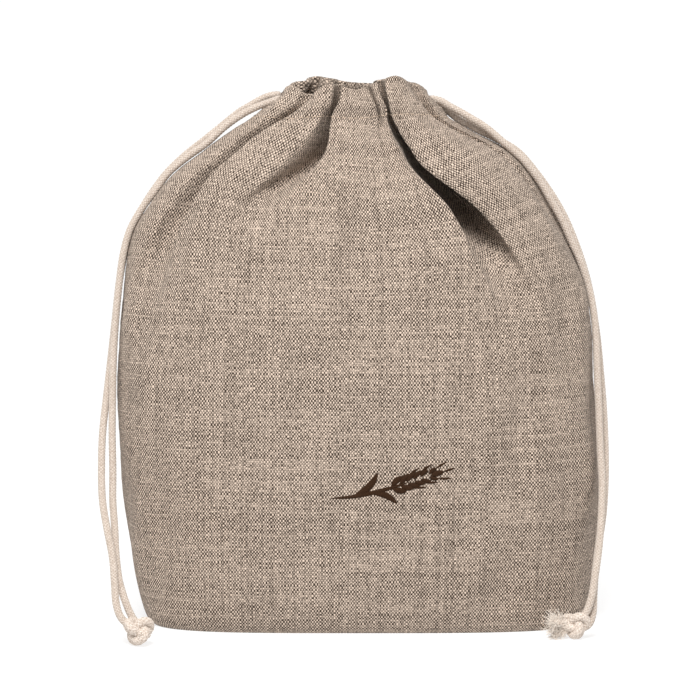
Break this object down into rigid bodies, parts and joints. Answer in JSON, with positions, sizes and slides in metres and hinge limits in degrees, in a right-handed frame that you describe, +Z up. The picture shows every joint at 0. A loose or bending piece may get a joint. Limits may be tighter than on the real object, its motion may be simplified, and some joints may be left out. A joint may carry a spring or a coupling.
{
  "type": "drawstring linen bread bag",
  "caption": "Filled linen drawstring bag standing on its flat bottom, neck gathered in deep folds by two cotton cords whose knotted ends hang at both sides.",
  "frame": {"origin": "middle of the bag's flat bottom, on the surface it stands on", "axes": "+Z up, -Y the front with the great fold, +X to the viewer's right along the bag's width"},
  "size_m": [0.273, 0.1463, 0.2894],
  "materials": {
    "linen": "matte, unbleached linen in plain weave",
    "cotton_cord": "matte braided cotton cord",
    "cotton_knot": "matte cotton, frayed at the cut ends"
  },
  "bodies": {
    "root": {"linen_bag": "linen", "left_cord_outer": "cotton_cord", "left_cord_inner": "cotton_cord", "right_cord_back": "cotton_cord", "right_cord_front": "cotton_cord", "left_knot": "cotton_knot", "right_knot": "cotton_knot"}
  },
  "joints": []
}
